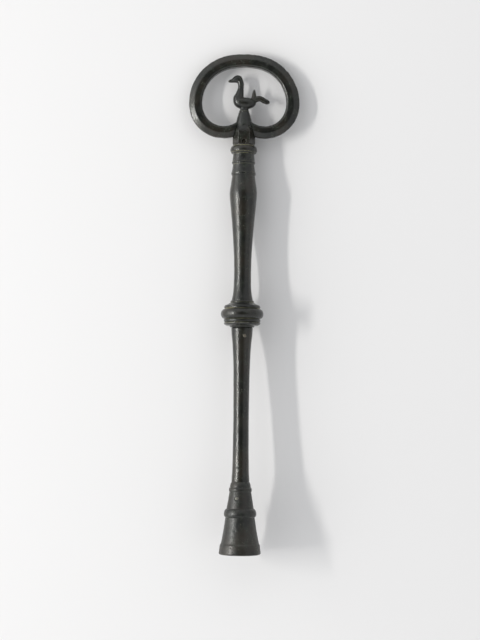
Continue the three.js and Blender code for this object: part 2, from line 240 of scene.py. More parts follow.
def even(outline: np.ndarray, spacing: float) -> np.ndarray:
    """Spreads an outline's points evenly along its length.

    Args:
        outline: rows of radius and height.
        spacing: the wanted distance between points, in millimetres.

    Returns:
        The respaced rows.
    """
    steps = np.hypot(*np.diff(outline, axis=0).T)
    keep = np.concatenate([[True], steps > 1e-6])
    outline = outline[keep]
    way = way_along(outline)
    wanted = np.linspace(0.0, way[-1], max(3, int(way[-1] / spacing)))
    return np.column_stack([np.interp(wanted, way, column) for column in outline.T])


def soften(outline: np.ndarray, passes: int) -> np.ndarray:
    """Rounds the corners of an evenly spaced outline by averaging each point with its neighbours.

    Args:
        outline: rows of radius and height.
        passes: how often each inner point takes a quarter, a half and a quarter of the three.

    Returns:
        The rounded rows, with the same two ends.
    """
    for _ in range(passes):
        inner = outline[:-2] / 4 + outline[1:-1] / 2 + outline[2:] / 4
        outline = np.vstack([outline[:1], inner, outline[-1:]])
    return outline


def wander(points: np.ndarray, wave: float, seed: int, waves: int = 14) -> np.ndarray:
    """Smooth noise in space: the mean of sines along random directions, scaled to about 1.

    Args:
        points: x, u, z in millimetres, in the last axis.
        wave: the typical distance between two crests, in millimetres.
        seed: picks the directions and phases.
        waves: how many sines are added.

    Returns:
        One value for each point.
    """
    chance = np.random.default_rng(seed)
    direction = chance.normal(size=(waves, 3))
    direction /= np.linalg.norm(direction, axis=1, keepdims=True)
    rate = TURN / (wave * chance.uniform(0.6, 1.6, waves))
    phase = chance.uniform(0.0, TURN, waves)
    total = np.zeros(points.shape[:-1])
    for k in range(waves):
        total += np.sin(points @ direction[k] * rate[k] + phase[k])
    return total / math.sqrt(waves)


def mingled(points: np.ndarray, *layers: tuple[float, float, int]) -> np.ndarray:
    """The sum of share times wander over layers of (share, wave, seed)."""
    return sum(share * wander(points, wave, seed) for share, wave, seed in layers)


def polygon_radius(angle: np.ndarray, sides: int, apothem: np.ndarray | float, sharp: float) -> np.ndarray:
    """Radius of a regular polygon with softened corners.

    Each face k limits the radius to apothem / cos(angle - face angle); the limits are joined as
    the power mean (sum of (cos / apothem) to the power p) to the power -1 / p.

    Args:
        angle: polar angles.
        sides: the number of faces, one of them facing angle 0.
        apothem: distance from the axis to a face.
        sharp: the power p; higher gives crisper corners.

    Returns:
        The radius at each angle.
    """
    total = np.zeros(np.shape(angle))
    for k in range(sides):
        facing = np.maximum(np.cos(angle - TURN * k / sides), 0.0)
        total = total + facing**sharp
    return apothem * total ** (-1.0 / sharp)


def add_object(name: str, data: bpy.types.ID) -> bpy.types.Object:
    """Puts a new object with this data in the scene.

    Args:
        name: the object's name.
        data: its mesh, lamp or camera.

    Returns:
        The object.
    """
    made = bpy.data.objects.new(name, data)
    bpy.context.scene.collection.objects.link(made)
    return made


def to_mesh(name: str, grid: np.ndarray, place: KeyPlace) -> bpy.types.Object:
    """Skins a grid whose columns close on themselves and whose two end rows get a centre point.

    Args:
        name: the piece's name.
        grid: points in millimetres, rows by columns by 3.
        place: lays the piece down.

    Returns:
        The new object, closed, with its faces outwards.
    """
    rows, columns = grid.shape[:2]
    points = place.row(np.vstack([grid.reshape(-1, 3), grid[0].mean(0), grid[-1].mean(0)]))
    index = np.arange(rows * columns).reshape(rows, columns)
    ahead = np.roll(index, -1, axis=1)
    quads = np.stack([index[:-1], ahead[:-1], ahead[1:], index[1:]], axis=-1).reshape(-1, 4)
    first, last = rows * columns, rows * columns + 1
    low = [(first, int(b), int(a)) for a, b in zip(index[0], ahead[0])]
    high = [(last, int(a), int(b)) for a, b in zip(index[-1], ahead[-1])]
    mesh = bpy.data.meshes.new(name)
    mesh.from_pydata(points.tolist(), [], quads.tolist() + low + high)
    shell = bmesh.new()
    shell.from_mesh(mesh)
    bmesh.ops.remove_doubles(shell, verts=shell.verts, dist=1e-8)
    bmesh.ops.recalc_face_normals(shell, faces=shell.faces)
    shell.to_mesh(mesh)
    shell.free()
    mesh.polygons.foreach_set("use_smooth", np.ones(len(mesh.polygons), bool))
    return add_object(name, mesh)


def mark_relief(piece: bpy.types.Object, passes: int = 3) -> None:
    """Stores how far each point stands out of or lies in its surroundings, as two attributes.

    The mean of a point's neighbours, less the point, along the normal and over the squared edge
    length, is its curvature. Standing edges go to the attribute ridge, hollows to hollow.

    Args:
        piece: the object whose mesh is marked.
        passes: how often the curvature is averaged with its neighbours.
    """
    mesh = piece.data
    count = len(mesh.vertices)
    points = np.zeros(count * 3)
    normals = np.zeros(count * 3)
    edges = np.zeros(len(mesh.edges) * 2, int)
    mesh.vertices.foreach_get("co", points)
    mesh.vertices.foreach_get("normal", normals)
    mesh.edges.foreach_get("vertices", edges)
    points = points.reshape(-1, 3) / MILLIMETRE
    normals = normals.reshape(-1, 3)
    a, b = edges.reshape(-1, 2).T
    step = points[b] - points[a]
    length = np.einsum("ij,ij->i", step, step) + 1e-9
    degree = np.bincount(a, minlength=count) + np.bincount(b, minlength=count)
    lift = np.bincount(a, np.einsum("ij,ij->i", step, normals[a]) / length, count)
    lift -= np.bincount(b, np.einsum("ij,ij->i", step, normals[b]) / length, count)
    bend = -lift / np.maximum(degree, 1)
    for _ in range(passes):
        around = np.bincount(a, bend[b], count) + np.bincount(b, bend[a], count)
        bend = 0.4 * bend + 0.6 * around / np.maximum(degree, 1)
    for name, value in (("ridge", bend), ("hollow", -bend)):
        layer = mesh.attributes.new(name, "FLOAT", "POINT")
        layer.data.foreach_set("value", np.clip(value, 0.0, 4.0).astype(np.float32))


def skin(name: str, grid: np.ndarray, place: KeyPlace) -> bpy.types.Object:
    """Makes a piece from its grid and marks its relief."""
    piece = to_mesh(name, grid, place)
    mark_relief(piece)
    return piece


@dataclass
class Dent:
    """A small round mark on a turned piece: a pit, a pin hole or the ring round a pin."""

    u: float
    turn: float  # radians from the side that faces the eye, towards +x
    radius: float
    depth: float
    sharp: float = 2.0

    def cut(self, radius: np.ndarray, u: np.ndarray, turn: np.ndarray) -> np.ndarray:
        """Lowers the surface as depth times exp(-(distance / radius) to the power 2 sharp).

        Args:
            radius: the surface's radius at each point.
            u: each point's place along the key.
            turn: each point's angle.

        Returns:
            The lowered radius.
        """
        around = (turn - self.turn + math.pi) % TURN - math.pi
        distance = np.hypot(u - self.u, around * radius) / self.radius
        return radius - self.depth * np.exp(-(distance ** (2.0 * self.sharp)))


def carve(dents: list[Dent], radius: np.ndarray, u: np.ndarray, turn: np.ndarray) -> np.ndarray:
    """Cuts dents one after another.

    Args:
        dents: the marks.
        radius: the surface's radius at each point.
        u: each point's place along the key.
        turn: each point's angle.

    Returns:
        The lowered radius.
    """
    for dent in dents:
        radius = dent.cut(radius, u, turn)
    return radius


@dataclass
class TurnedPiece:
    """A piece turned on the lathe: an outline, its irregularities and its marks."""

    name: str
    node: str
    outline: np.ndarray
    columns: int = 176
    spacing: float = 0.2
    softness: int = 2
    lump: Lump = Lump.TURNED
    seed: int = 1
    dents: list[Dent] = field(default_factory=list)

    def rows(self) -> tuple[np.ndarray, np.ndarray, np.ndarray]:
        """Works out radius, height and angle on the grid.

        Returns:
            Three arrays, rows by columns.
        """
        line = soften(even(self.outline, self.spacing), self.softness)
        radius = np.repeat(line[:, :1], self.columns, axis=1)
        u = np.repeat(line[:, 1:], self.columns, axis=1)
        return radius, u, np.repeat(full_turn(self.columns)[None, :], len(line), axis=0)

    def grid(self) -> np.ndarray:
        """Carries the outline round the axis, with its lumps and dents.

        Returns:
            Points in millimetres.
        """
        radius, u, turn = self.rows()
        worn = mingled(about_axis(radius, u, turn), (0.7, 9.0, self.seed), (0.3, 2.6, self.seed + 50))
        radius = radius - self.lump.value * smooth(0.0, CORE, radius) * (1.0 + 0.6 * worn)
        return about_axis(carve(self.dents, radius, u, turn), u, turn)

    def make(self, place: KeyPlace) -> bpy.types.Object:
        """Makes the piece and marks its relief."""
        return skin(self.name, self.grid(), place)


def scatter(seed: int, count: int, low: float, high: float, size: Point, depth: Point) -> list[Dent]:
    """Casting pits and knocks at random places on a stretch of a turned piece.

    Args:
        seed: picks the places.
        count: how many there are.
        low: lowest place along the key.
        high: highest place along the key.
        size: smallest and largest radius.
        depth: smallest and largest depth.

    Returns:
        The dents.
    """
    chance = np.random.default_rng(seed)
    return [
        Dent(
            u=chance.uniform(low, high),
            turn=chance.uniform(0.0, TURN),
            radius=chance.uniform(*size),
            depth=chance.uniform(*depth),
            sharp=chance.uniform(0.8, 1.4),
        )
        for _ in range(count)
    ]


@dataclass
class Foot:
    """The flared foot with its square socket."""

    length: float = HEIGHTS.stem
    mouth_radius: float = 9.3
    band_height: float = 4.4
    band_top: float = 8.75
    bell_start: float = 8.42
    bell_height: float = 16.3
    bell_neck: float = 6.5
    roll_radius: float = 7.2
    roll_height: float = 3.6
    cone_radius: float = 6.1
    cone_neck: float = 4.8
    bead_radius: float = 5.1
    bead_height: float = 1.7
    cap_height: float = 2.6
    stem_radius: float = 4.0
    socket_side: float = 9.6
    socket_end: float = 7.4
    socket_depth: float = 16.0
    chamfer: float = 0.35  # of the socket's edge
    chamfer_reach: float = 0.25
    corner_sharp: float = 60.0
    lip: float = 0.45
    spacing: float = 0.17
    columns: int = 192

    def outline(self) -> np.ndarray:
        """The outside from the cap down to the edge of the mouth.

        Returns:
            Rows of radius and height.
        """
        cap = self.length - self.cap_height
        bead = cap - self.bead_height
        cone = self.bell_height + self.roll_height
        band = self.band_height
        upward = np.vstack(
            [
                [(self.mouth_radius - self.lip, 0.0)],
                stretch((self.mouth_radius - self.lip, 0.0), (self.mouth_radius, self.lip), 0.06),
                stretch((self.mouth_radius, self.lip), (self.band_top, band), 0.04),
                stretch((self.bell_start + 0.1, band + 0.15), (self.bell_start, band + 0.4)),
                stretch((self.bell_start, band + 0.4), (self.bell_neck, self.bell_height), -0.12),
                roll((self.bell_neck, self.bell_height), (self.cone_radius, cone), self.roll_radius, 1.0),
                stretch((self.cone_radius - 0.05, cone + 0.2), (self.cone_neck, bead), 0.0),
                roll((self.cone_neck, bead), (self.cone_neck - 0.05, cap), self.bead_radius, 0.7),
                stretch((self.cone_neck - 0.15, cap + 0.15), (self.stem_radius, self.length), 0.18),
                [(0.4, self.length + 0.02)],
            ]
        )
        return upward[::-1]

    def rows(self) -> tuple[np.ndarray, np.ndarray]:
        """Outside, mouth and socket as one run of rings.

        The mouth blends the round edge into the square; each ring of the socket is a square
        whose side shrinks evenly with depth.

        Returns:
            Radius and height, rows by columns.
        """
        line = soften(even(self.outline(), self.spacing), 2)
        outside = np.repeat(line[:, :1], self.columns, axis=1)
        square = polygon_radius(full_turn(self.columns), 4, 1.0, self.corner_sharp)
        start = self.socket_side / 2 + self.chamfer
        share = smooth(0.0, 1.0, np.linspace(0.0, 1.0, 16))[1:, None]
        mouth = outside[-1] * (1.0 - share) + start * square * share
        depth = np.concatenate([[0.12, 0.3, 0.6], np.linspace(1.0, self.socket_depth, 60)])[:, None]
        side = self.socket_side / 2 + (self.socket_end - self.socket_side) / 2 * depth / self.socket_depth
        eased = side + self.chamfer * np.exp(-((depth / self.chamfer_reach) ** 1.5))
        walls = eased * square
        floor = walls[-1:] * np.array([[0.9], [0.5], [0.1]])
        radius = np.vstack([outside, mouth, walls, floor])
        height = np.concatenate(
            [line[:, 1], np.full(len(mouth), line[-1, 1]), depth[:, 0], np.full(3, self.socket_depth)]
        )
        return radius, np.repeat(height[:, None], self.columns, axis=1)

    def make(self, place: KeyPlace) -> bpy.types.Object:
        """Makes the foot.

        Args:
            place: lays the piece down.

        Returns:
            The new object.
        """
        radius, u = self.rows()
        turn = full_turn(self.columns)[None, :] + 0.0 * u
        outer = len(even(self.outline(), self.spacing))
        worn = mingled(about_axis(radius, u, turn), (0.7, 8.0, 11), (0.4, 2.2, 12))
        radius = radius - Lump.CAST.value * smooth(0.0, CORE, radius) * (1.0 + 0.6 * worn)
        marks = scatter(13, 70, 0.5, 30.0, (0.12, 0.5), (0.03, 0.16))
        marks += [Dent(HEIGHTS.foot_pin, FOOT_PIN_TURN, PIN_HOLE, 0.14, 3.0)]
        radius[:outer] = carve(marks, radius[:outer], u[:outer], turn[:outer])
        return skin("foot", about_axis(radius, u, turn), place)


@dataclass
class Shaft:
    """Stem, knop, grip and ferrule: all that is turned between the foot and the block."""

    stem_start: float = HEIGHTS.stem
    knop_start: float = HEIGHTS.knop
    grip_start: float = HEIGHTS.grip
    ferrule_start: float = HEIGHTS.ferrule
    block_start: float = HEIGHTS.block

    def stem(self) -> TurnedPiece:
        """The slender stem, from the measured radii along its length.

        Returns:
            The piece.
        """
        low, high = self.stem_start, self.knop_start
        knots = [
            (3.98, -0.35), (3.97, 0.9), (3.81, 3.5), (3.71, 7.0), (3.62, 11.4), (3.54, 18.5),
            (3.48, 27.3), (3.53, 36.1), (3.61, 43.4), (3.73, 50.3), (3.9, 55.5), (4.1, 59.0),
            (4.38, 62.4), (4.62, 64.2),
        ]
        line = np.vstack(
            [
                [(0.3, low - 0.4)],
                flowing(raised(low, knots)),
                stretch((4.6, high - 3.55), (4.72, high - 1.7), 0.03),
                stretch((4.74, high - 1.6), (4.86, high + 0.05)),
                [(0.3, high + 0.3)],
            ]
        )
        marks = scatter(21, 90, low + 1.0, high - 0.9, (0.12, 0.5), (0.02, 0.1))
        marks += [Dent(HEIGHTS.stem_pin, STEM_PIN_TURN, PIN_HOLE, 0.12, 3.0)]
        return TurnedPiece("stem", "lower_stem", line, columns=144, spacing=0.3, seed=20, dents=marks)

    def knop(self) -> TurnedPiece:
        """The knop: two beads, the main roll, an upper bead and a collar.

        Returns:
            The piece.
        """
        start = self.knop_start
        line = np.vstack(
            [
                [(0.3, start + 0.1)],
                stretch((5.2, start + 0.15), (5.6, start + 0.8), 0.05),
                roll((6.2, start + 0.85), (7.55, start + 2.25), 7.95, 0.7),
                roll((7.62, start + 2.35), (7.8, start + 3.75), 8.18, 0.8),
                roll((7.85, start + 3.9), (7.85, start + 8.3), 9.5, 1.1),
                roll((7.75, start + 8.55), (7.5, start + 9.95), 8.08, 0.8),
                stretch((7.3, start + 10.0), (5.3, start + 11.15), -0.18),
                roll((5.1, start + 11.2), (4.75, start + 12.15), 5.28, 0.8),
                [(0.3, start + 12.25)],
            ]
        )
        marks = scatter(31, 60, start + 0.5, start + 12.0, (0.12, 0.45), (0.03, 0.14))
        return TurnedPiece("knop_ring", "knop", line, columns=224, spacing=0.12, seed=30, dents=marks)

    def grip(self) -> TurnedPiece:
        """The grip, waisted above the knop and swelling below the ferrule.

        Returns:
            The piece.
        """
        low, high = self.grip_start, self.ferrule_start
        knots = [
            (4.8, -0.3), (4.62, 0.8), (4.3, 2.3), (3.99, 5.1), (3.88, 8.7), (3.85, 11.9), (3.96, 18.2),
            (4.16, 22.9), (4.43, 27.4), (4.77, 31.7), (5.15, 36.1), (5.48, 39.7), (5.82, 43.3),
            (6.07, 46.0), (6.15, 47.8), (6.0, 49.7), (5.68, 51.6), (5.34, 53.9), (5.08, 55.9),
        ]
        line = np.vstack([[(0.3, low - 0.4)], flowing(raised(low, knots), 150), [(0.3, high + 0.5)]])
        marks = scatter(41, 80, low + 0.9, high - 0.7, (0.12, 0.55), (0.02, 0.09))
        marks += scatter(42, 24, low + 29.0, low + 38.0, (0.12, 0.35), (0.05, 0.15))
        return TurnedPiece("grip_shaft", "grip", line, columns=176, spacing=0.28, seed=40, dents=marks)

    def ferrule(self) -> TurnedPiece:
        """Three mouldings that flare towards the foot, with light lips below.

        Returns:
            The piece.
        """
        low = self.ferrule_start
        line = np.vstack(
            [
                [(0.3, low)],
                roll((5.05, low + 0.05), (5.35, low + 1.3), 5.5, 0.6),
                stretch((5.4, low + 1.35), (4.85, low + 5.05), -0.06),
                roll((4.85, low + 5.15), (5.1, low + 6.2), 5.28, 0.6),
                stretch((5.12, low + 6.25), (4.78, low + 9.75), -0.05),
                roll((4.85, low + 9.8), (5.5, low + 10.55), 5.62, 0.7),
                roll((5.5, low + 10.6), (5.0, low + 13.2), 6.0, 0.8),
                stretch((4.95, low + 13.25), (4.9, self.block_start + 0.2)),
                [(0.3, self.block_start + 0.25)],
            ]
        )
        marks = scatter(51, 60, low + 0.5, low + 13.5, (0.12, 0.4), (0.04, 0.16))
        return TurnedPiece(
            "ferrule", "neck_ferrule", line, columns=192, spacing=0.1, lump=Lump.WORN, seed=50, dents=marks
        )


@dataclass
class Block:
    """The six-sided block and the tapering post on top of it."""

    start: float = HEIGHTS.block
    height: float = 6.8
    corner: float = 5.12
    post_height: float = 8.1
    post_foot: float = 4.25
    post_top: float = 2.34
    edge_sharp: float = 70.0
    columns: int = 192

    def make(self, place: KeyPlace) -> bpy.types.Object:
        """Each ring is a hexagon that becomes a circle where the block gives way to the post.

        Args:
            place: lays the piece down.

        Returns:
            The new object.
        """
        top = self.start + self.height
        end = top + self.post_height
        apothem = self.corner * math.cos(math.pi / 6)
        line = np.vstack(
            [
                [(0.2, self.start + 0.2)],
                stretch((apothem - 0.25, self.start + 0.2), (apothem, self.start + 0.5)),
                stretch((apothem, self.start + 0.5), (apothem, top - 0.9)),
                stretch((apothem, top - 0.9), (self.post_foot - 0.25, top + 0.9), 0.1),
                stretch((self.post_foot - 0.25, top + 0.9), (self.post_top, end), 0.2),
                [(0.2, end + 0.05)],
            ]
        )
        line = soften(even(line, 0.14), 3)
        turn = full_turn(self.columns)[None, :]
        hexagon = polygon_radius(turn, 6, 1.0, self.edge_sharp)
        round_share = smooth(top - 1.2, top + 2.4, line[:, 1:])
        radius = line[:, :1] * (hexagon * (1.0 - round_share) + round_share)
        u = np.repeat(line[:, 1:], self.columns, axis=1)
        turn = turn + 0.0 * u
        worn = mingled(about_axis(radius, u, turn), (0.6, 6.0, 61), (0.4, 1.8, 62))
        radius = radius - Lump.FORGED.value * smooth(0.0, CORE, radius) * (0.6 + 0.5 * worn)
        marks = scatter(63, 40, self.start, end, (0.12, 0.4), (0.04, 0.14))
        marks += [Dent(HEIGHTS.bow_pin, 0.0, PIN_HOLE, 1.6, 3.0)]
        marks += [Dent(self.start + 8.0, 0.75, 0.8, 0.5, 1.0)]
        return skin("block", about_axis(carve(marks, radius, u, turn), u, turn), place)


@dataclass
class Bow:
    """The bar bent to a kidney shape. Its outer edge is a crown, two sides and two lobes."""

    top: float = HEIGHTS.bow_top
    crown_radius: float = 38.0
    crown_angle: float = 10.0
    side_radius: float = 21.95
    side_angle: float = 93.3
    lobe_radius: float = 15.5
    outer_end: float = 197.0
    inner_end: float = 222.0
    crown_width: float = 5.9
    side_width: float = 6.05
    lobe_width: float = 5.4
    half_depth: float = 2.3
    outer_bevel: float = 2.6
    inner_bevel: float = 0.8
    outer_rim: float = 0.9
    inner_rim: float = 1.6
    hammered: float = 0.16  # how far the edges wander inwards
    shrink: float = 0.03  # keeps the bar inside its construction
    thinning: float = 0.012
    along: int = 420
    around: int = 72

    def edge(self, angle: np.ndarray, inset: float) -> np.ndarray:
        """Points of the right half's edge whose outward normal makes angles with +u.

        A point is the centre of its arc plus the normal times (radius - inset times width).

        Args:
            angle: degrees from +u.
            inset: 0 for the outer edge, 1 for the inner one.

        Returns:
            Rows of x and u.
        """
        along = lambda turn: np.array([math.sin(math.radians(turn)), math.cos(math.radians(turn))])
        crown = np.array([0.0, self.top - self.crown_radius])
        side = crown + along(self.crown_angle) * (self.crown_radius - self.side_radius)
        lobe = side + along(self.side_angle) * (self.side_radius - self.lobe_radius)
        kind = np.digitize(angle, [self.crown_angle, self.side_angle], right=True)
        centre = np.stack([crown, side, lobe])[kind]
        radius = np.array([self.crown_radius, self.side_radius, self.lobe_radius])[kind]
        upper = self.crown_width + (self.side_width - self.crown_width) * smooth(0, 90, angle)
        width = upper + (self.lobe_width - upper) * smooth(90, 180, angle)
        normal = np.column_stack([np.sin(np.radians(angle)), np.cos(np.radians(angle))])
        return centre + normal * (radius - inset * width)[:, None]

    def section(self) -> np.ndarray:
        """The bar's bevelled section as shares of its width and depth, with soft corners.

        Returns:
            Rows of (share across from the outer edge, depth in millimetres).
        """
        width = self.side_width
        corners = np.array(
            [
                (0.0, -self.outer_rim),
                (0.0, self.outer_rim),
                (self.outer_bevel, self.half_depth),
                (width - self.inner_bevel, self.half_depth),
                (width, self.inner_rim),
                (width, -self.inner_rim),
                (width - self.inner_bevel, -self.half_depth),
                (self.outer_bevel, -self.half_depth),
                (0.0, -self.outer_rim),
            ]
        )
        way = way_along(corners)
        wanted = np.linspace(0.0, way[-1], self.around, endpoint=False)
        ring = np.column_stack([np.interp(wanted, way, column) for column in corners.T])
        for _ in range(2):
            ring = np.roll(ring, 1, 0) / 4 + ring / 2 + np.roll(ring, -1, 0) / 4
        return ring / np.array([width, 1.0])

    def make(self, place: KeyPlace) -> bpy.types.Object:
        """Carries the section along the bar, from the left end over the crown to the right end.

        Args:
            place: lays the piece down.

        Returns:
            The new object.
        """
        angle = np.linspace(-self.outer_end, self.outer_end, self.along)
        side = np.where(angle < 0.0, -1.0, 1.0)
        turn = np.abs(angle)
        past = np.maximum(turn - 180.0, 0.0) / (self.outer_end - 180.0)
        inner_turn = np.where(turn <= 180.0, turn, 180.0 + past * (self.inner_end - 180.0))
        outer, inner = self.edge(turn, 0.0), self.edge(inner_turn, 1.0)
        ring = self.section()
        share = ring[None, :, 0, None]
        flat = outer[:, None, :] * (1.0 - share) + inner[:, None, :] * share
        x = flat[..., 0] * side[:, None]
        z = np.repeat(ring[None, :, 1], self.along, axis=0)
        grid = np.stack([x, flat[..., 1], z], axis=-1)
        inward = (inner - outer) / np.linalg.norm(inner - outer, axis=1, keepdims=True)
        worn = mingled(grid, (0.6, 11.0, 71), (0.4, 3.0, 72))
        across = ring[None, :, 0]
        shift = np.maximum(self.hammered * worn * (1.0 - 2.0 * across), 0.0)
        shift = (shift * np.where(across < 0.5, 1.0, 0.5) + self.shrink) * np.sign(0.5 - across)
        grid[..., 0] += shift * inward[:, None, 0] * side[:, None]
        grid[..., 1] += shift * inward[:, None, 1]
        grid[..., 2] *= 1.0 - self.thinning * (1.0 + wander(grid, 5.0, 73))
        return skin("bow", grid, place)


@dataclass
class Bird:
    """The small standing bird: limbs with oval rings, grown together and smoothed."""

    base: float = HEIGHTS.bird
    voxel: float = 0.16
    rings: int = 40
    ring_points: int = 32
    thinnest: float = 0.05

    def limb(self, stations: Sequence[tuple[float, float, float, float]]) -> np.ndarray:
        """A limb along a curve in the bow's plane.

        The centre and the two half widths are cubic through the stations. Each ring is
        centre + across times half width times cos + z times half depth times sin.

        Args:
            stations: x, height above the base, half width in the plane, half depth.

        Returns:
            The grid of points in millimetres.
        """
        table = np.array(stations, float)
        knots = way_along(table[:, :2])
        way = np.linspace(0.0, knots[-1], self.rings)
        columns = [flowing(list(zip(column, knots)), self.rings - 1)[:, 0] for column in table.T]
        rows = np.column_stack(columns)
        along = np.gradient(rows[:, :2], way, axis=0)
        along /= np.linalg.norm(along, axis=1, keepdims=True)
        turn = full_turn(self.ring_points)[None, :]
        wide = np.maximum(rows[:, 2:3], self.thinnest) * np.cos(turn)
        deep = np.maximum(rows[:, 3:4], self.thinnest) * np.sin(turn)
        x = rows[:, :1] - along[:, 1:2] * wide
        u = self.base + rows[:, 1:2] + along[:, :1] * wide
        return np.stack([x, u, deep], axis=-1)

    def limbs(self) -> dict[str, np.ndarray]:
        """Body, neck with head, beak, spur, tail and the foot ring, from the photograph's sizes.

        Returns:
            Grids by name.
        """
        rows = {
            "body": [(5.0, 5.3, 0.5, 0.7), (4.1, 4.6, 1.7, 1.9), (2.2, 4.1, 2.5, 2.7), (-0.4, 4.1, 2.7, 3.0),
                     (-2.5, 4.8, 2.5, 2.8), (-3.3, 6.3, 1.7, 2.1), (-2.7, 7.9, 1.2, 1.4)],
            "neck": [(-1.5, 3.5, 2.3, 2.3), (-2.4, 6.0, 2.25, 2.2), (-2.0, 8.4, 1.8, 1.7),
                     (-1.6, 10.6, 1.35, 1.4), (-1.55, 12.5, 1.35, 1.4), (-1.9, 14.0, 1.4, 1.4)],
            "head": [(-1.1, 13.6, 0.5, 0.5), (-1.8, 14.3, 1.4, 1.35), (-3.0, 14.9, 1.8, 1.6),
                     (-4.2, 14.7, 1.45, 1.3), (-5.2, 14.4, 0.9, 0.9)],
            "beak": [(-4.0, 14.5, 1.25, 1.05), (-5.3, 14.2, 0.95, 0.8), (-6.4, 13.95, 0.7, 0.6),
                     (-7.2, 13.75, 0.4, 0.4)],
            "spur": [(3.6, 4.0, 1.2, 1.6), (4.2, 6.0, 1.15, 1.25), (4.35, 7.7, 0.95, 0.95),
                     (4.4, 9.2, 0.65, 0.65), (4.42, 10.3, 0.28, 0.28)],
            "tail": [(3.4, 4.6, 1.5, 1.3), (5.4, 5.9, 1.3, 1.0), (7.0, 6.2, 1.25, 0.9),
                     (9.1, 5.1, 1.2, 0.85), (10.7, 4.5, 0.95, 0.7), (11.4, 4.3, 0.4, 0.4)],
            "foot_ring": [(0.0, -0.5, 1.5, 1.5), (0.0, 0.25, 2.3, 2.3), (0.0, 0.8, 2.0, 2.0),
                          (0.0, 2.6, 1.8, 1.8)],
        }
        return {name: self.limb(stations) for name, stations in rows.items()}

    def make(self, place: KeyPlace) -> bpy.types.Object:
        """Joins the limbs by a fine remesh and a smoothing.

        Args:
            place: lays the piece down.

        Returns:
            The new object.
        """
        parts = [to_mesh(name, grid, place) for name, grid in self.limbs().items()]
        whole = bmesh.new()
        for part in parts:
            whole.from_mesh(part.data)
            bpy.data.objects.remove(part)
        mesh = bpy.data.meshes.new("bird")
        whole.to_mesh(mesh)
        whole.free()
        piece = add_object("bird", mesh)
        remesh = piece.modifiers.new("grow together", "REMESH")
        remesh.mode = "VOXEL"
        remesh.voxel_size = self.voxel * MILLIMETRE
        ease = piece.modifiers.new("ease", "SMOOTH")
        ease.factor = 0.5
        ease.iterations = 7
        graph = bpy.context.evaluated_depsgraph_get()
        finished = bpy.data.meshes.new_from_object(piece.evaluated_get(graph))
        piece.modifiers.clear()
        piece.data = finished
        finished.polygons.foreach_set("use_smooth", np.ones(len(finished.polygons), bool))
        mark_relief(piece, passes=4)
        return piece


@dataclass
class Pin:
    """A cross pin with domed ends, seen in the face of the piece that it holds."""

    name: str
    node: str
    u: float
    turn: float
    reach: float
    radius: float = 0.72
    dome_height: float = 0.18
    columns: int = 40

    def make(self, place: KeyPlace) -> bpy.types.Object:
        """A rod across the axis whose ends swell as a shallow dome.

        Args:
            place: lays the piece down.

        Returns:
            The new object.
        """
        dome = np.linspace(0.0, math.pi / 2, 8)
        fall = self.dome_height * (1.0 - np.cos(dome))
        tip = np.column_stack([self.radius * np.sin(dome), self.reach - fall])
        line = np.vstack([tip * np.array([1.0, -1.0]), tip[::-1]])
        line[0, 0] = line[-1, 0] = 0.02
        around = full_turn(self.columns)[None, :]
        side = line[:, :1] * np.cos(around)
        u = self.u + line[:, :1] * np.sin(around)
        out = np.repeat(line[:, 1:], self.columns, axis=1)
        x = out * math.sin(self.turn) + side * math.cos(self.turn)
        z = out * math.cos(self.turn) - side * math.sin(self.turn)
        return skin(self.name, np.stack([x, u, z], axis=-1), place)


class Sock:
    """A value in a shader: wraps a socket or a number so that expressions add Math nodes."""

    def __init__(self, paint: "Paint", source: bpy.types.NodeSocket | float) -> None:
        """Keeps the node helper, and the output socket or number."""
        self.paint = paint
        self.source = source

    def _maths(self, kind: str, *others: "Sock | float") -> "Sock":
        """Adds one Math node on this value and others."""
        values = [self.source] + [o.source if isinstance(o, Sock) else o for o in others]
        inputs = dict(enumerate(values))
        return self.paint.node("ShaderNodeMath", {"operation": kind}, inputs).value(0)

    def __add__(self, other: "Sock | float") -> "Sock":
        """This plus other."""
        return self._maths("ADD", other)

    def __radd__(self, other: float) -> "Sock":
        """Other plus this."""
        return self._maths("ADD", other)

    def __sub__(self, other: "Sock | float") -> "Sock":
        """This less other."""
        return self._maths("SUBTRACT", other)

    def __rsub__(self, other: float) -> "Sock":
        """Other less this."""
        return Sock(self.paint, other)._maths("SUBTRACT", self)

    def __mul__(self, other: "Sock | float") -> "Sock":
        """This times other."""
        return self._maths("MULTIPLY", other)

    def __rmul__(self, other: float) -> "Sock":
        """Other times this."""
        return self._maths("MULTIPLY", other)

    def clamp(self) -> "Sock":
        """This, held between 0 and 1."""
        return self._maths("MINIMUM", 1.0)._maths("MAXIMUM", 0.0)

    def rise(self, low: float, high: float) -> "Sock":
        """Eases from 0 where this is low to 1 where it is high."""
        inputs = {0: self.source, 1: low, 2: high, 3: 0.0, 4: 1.0}
        return self.paint.node("ShaderNodeMapRange", {"interpolation_type": "SMOOTHSTEP"}, inputs).value(0)


class Made:
    """A node that has been added, giving its outputs."""

    def __init__(self, paint: "Paint", node: bpy.types.Node) -> None:
        """Keeps the node and the helper that added it."""
        self.paint = paint
        self.node = node

    def value(self, key: int | str) -> Sock:
        """An output as a value for expressions."""
        return Sock(self.paint, self.node.outputs[key])

    def out(self, key: int | str) -> bpy.types.NodeSocket:
        """An output as a socket, for colours and vectors."""
        return self.node.outputs[key]


